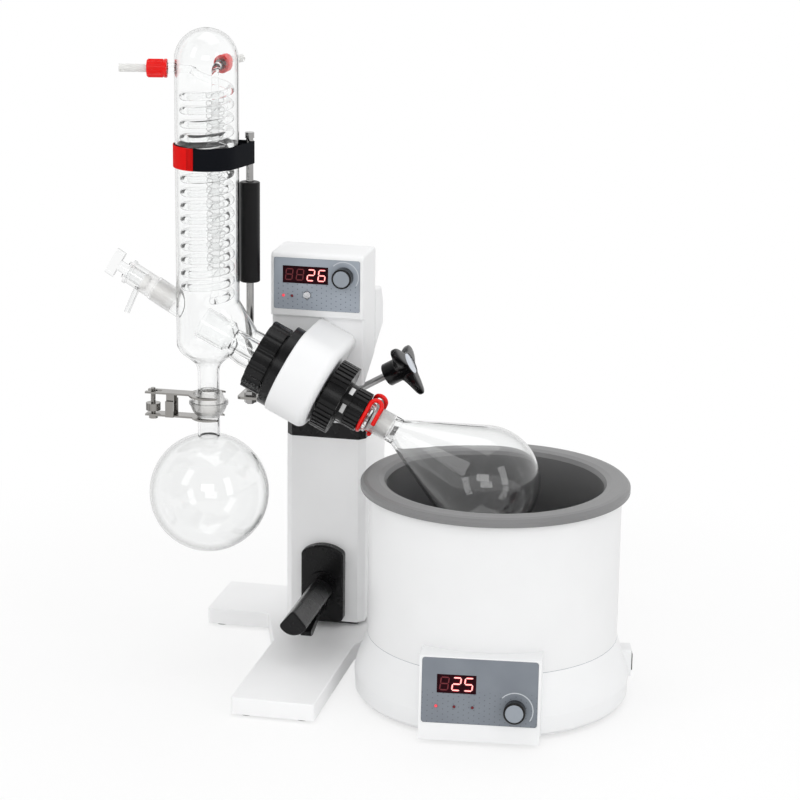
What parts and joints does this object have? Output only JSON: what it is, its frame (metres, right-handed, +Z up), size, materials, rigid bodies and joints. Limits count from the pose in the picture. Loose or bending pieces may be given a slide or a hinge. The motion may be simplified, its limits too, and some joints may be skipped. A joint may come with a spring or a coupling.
{
  "type": "rotary evaporator",
  "caption": "Bench rotary evaporator: hand-lift column, tilting drive head with spinning pear flask, vertical coil condenser with receiving flask, and a free-standing heating bath.",
  "frame": {"origin": "on the bench plane, on the column's mid-plane, in line with the front edge of the base's left wing", "axes": "+X to the viewer's right along the drive axis in plan, +Y away from the viewer, +Z up"},
  "size_m": [0.5854, 0.385, 0.711],
  "materials": {
    "white_shell": "smooth satin white",
    "white_metal": "white powder coat",
    "black_plastic": "satin black",
    "grey_panel": "blue-grey film",
    "display": "dark red window",
    "glass": "clear",
    "red_plastic": "glossy red",
    "pale_plastic": "translucent white",
    "steel": "polished",
    "chrome": "bright",
    "aluminium": "plain",
    "post_steel": "dark grey paint",
    "gears": "natural",
    "board": "green",
    "rubber": "matt",
    "strap": "woven hook tape with a red end",
    "pot_grey": "grey non-stick coat"
  },
  "bodies": {
    "stand": {"base": "white_metal", "base_feet": "rubber", "inner_post": "post_steel", "gas_spring_body": "post_steel"},
    "lift": {"column_sleeve": "white_metal", "column_cap": "black_plastic", "gas_spring_rod": "steel", "handle_plate": "black_plastic", "lift_grip": "black_plastic", "head_housing": "white_shell", "head_rear_cover": "white_shell", "head_panel": "grey_panel", "head_display": "display", "head_board": "board", "tilt_collar": "aluminium"},
    "trigger": {"lift_trigger": "black_plastic"},
    "speed_control": {"speed_knob": "black_plastic"},
    "start_control": {"start_button": "chrome"},
    "tilt_lock": {"clamp_rod": "steel", "star_knob": "black_plastic"},
    "drive": {"drive_housing": "white_shell", "housing_flange": "black_plastic", "hub_bearings": "steel", "shaft_seal": "pale_plastic", "drive_motor": "aluminium", "rod_bracket": "steel", "support_rod": "steel", "support_pad": "rubber", "condenser_strap": "strap", "condenser_shell": "glass", "condenser_coil": "glass", "nozzle_caps": "red_plastic", "hose_nozzles": "pale_plastic", "feed_adaptor": "glass", "receiving_flask": "glass", "clamp_lower_jaw": "steel"},
    "union_nut": {"condenser_nut": "black_plastic"},
    "clamp_jaw": {"clamp_upper_jaw": "steel"},
    "clamp_screw_nut": {"clamp_nut": "steel"},
    "feed_key": {"feed_stopper": "glass"},
    "spinner": {"drive_hub": "black_plastic", "drive_gear": "gears", "lock_ring": "black_plastic", "vapour_tube": "glass", "evaporating_flask": "glass", "joint_clip": "red_plastic"},
    "ejector": {"ejector_nut": "black_plastic"},
    "pinion": {"motor_pinion": "gears"},
    "bath": {"bath_pot": "pot_grey", "bath_shell": "white_metal", "bath_base_shell": "white_shell", "bath_panel": "grey_panel", "bath_display": "display", "bath_heater": "steel", "bath_floor": "post_steel", "bath_feet": "rubber"},
    "bath_control": {"bath_knob": "black_plastic"},
    "bath_power": {"bath_switch": "black_plastic"}
  },
  "joints": [
    {"name": "lift_slide", "type": "slide", "parent": "stand", "child": "lift", "axis": [0, 0, 1], "range_m": [0, 0.15]},
    {"name": "lift_lever", "type": "hinge", "parent": "lift", "child": "trigger", "pos_m": [0, -0.047, 0.054], "axis": [-1, 0, 0], "range_deg": [0, 11], "stiffness_Nm_per_rad": 0.4, "springref_deg": -8.59},
    {"name": "speed_turn", "type": "hinge", "parent": "lift", "child": "speed_control", "pos_m": [0.0301, -0.06, 0.4381], "axis": [0, 1, 0], "range_deg": [0, 270]},
    {"name": "start_push", "type": "slide", "parent": "lift", "child": "start_control", "axis": [0, 1, 0], "range_m": [0, 0.0012], "stiffness_N_per_m": 400, "springref_m": -0.001},
    {"name": "star_turn", "type": "hinge", "parent": "lift", "child": "tilt_lock", "pos_m": [0.026, -0.036, 0.29716], "axis": [0.866, 0, 0.5], "range_deg": [0, 360]},
    {"name": "tilt", "type": "hinge", "parent": "lift", "child": "drive", "pos_m": [0.003, -0.122, 0.337], "axis": [0, -1, 0], "range_deg": [0, 15]},
    {"name": "union_turn", "type": "hinge", "parent": "drive", "child": "union_nut", "pos_m": [0.003, -0.122, 0.337], "axis": [0.8949, 0, -0.4462], "range_deg": [0, 120]},
    {"name": "jaw_open", "type": "hinge", "parent": "drive", "child": "clamp_jaw", "pos_m": [-0.147, -0.122, 0.296], "axis": [0, -1, 0], "range_deg": [0, 18]},
    {"name": "clamp_nut_turn", "type": "hinge", "parent": "drive", "child": "clamp_screw_nut", "pos_m": [-0.168, -0.122, 0.2956], "axis": [0, 0, 1], "continuous": true},
    {"name": "feed_key_turn", "type": "hinge", "parent": "drive", "child": "feed_key", "pos_m": [-0.19116, -0.122, 0.44335], "axis": [-0.8616, 0, 0.5075], "range_deg": [0, 90]},
    {"name": "flask_spin", "type": "hinge", "parent": "drive", "child": "spinner", "pos_m": [0.003, -0.122, 0.337], "axis": [0.8949, 0, -0.4462], "continuous": true},
    {"name": "ejector_turn", "type": "hinge", "parent": "spinner", "child": "ejector", "pos_m": [0.003, -0.122, 0.337], "axis": [0.8949, 0, -0.4462], "range_deg": [0, 180]},
    {"name": "pinion_spin", "type": "hinge", "parent": "drive", "child": "pinion", "pos_m": [0.003, -0.08, 0.337], "axis": [0.8949, 0, -0.4462], "continuous": true},
    {"name": "bath_slide", "type": "slide", "parent": "stand", "child": "bath", "axis": [0, -1, 0], "range_m": [0, 0.03]},
    {"name": "bath_dial", "type": "hinge", "parent": "bath", "child": "bath_control", "pos_m": [0.26502, -0.27342, 0.04049], "axis": [-0.0964, 0.9903, -0.0998], "range_deg": [0, 270]},
    {"name": "bath_rocker", "type": "hinge", "parent": "bath", "child": "bath_power", "pos_m": [0.35434, -0.09196, 0.038], "axis": [-0.2079, 0.9781, 0], "range_deg": [-6, 6]}
  ],
  "couplings": [
    {"joint": "pinion_spin", "follows": "flask_spin", "ratio": -3.2}
  ]
}
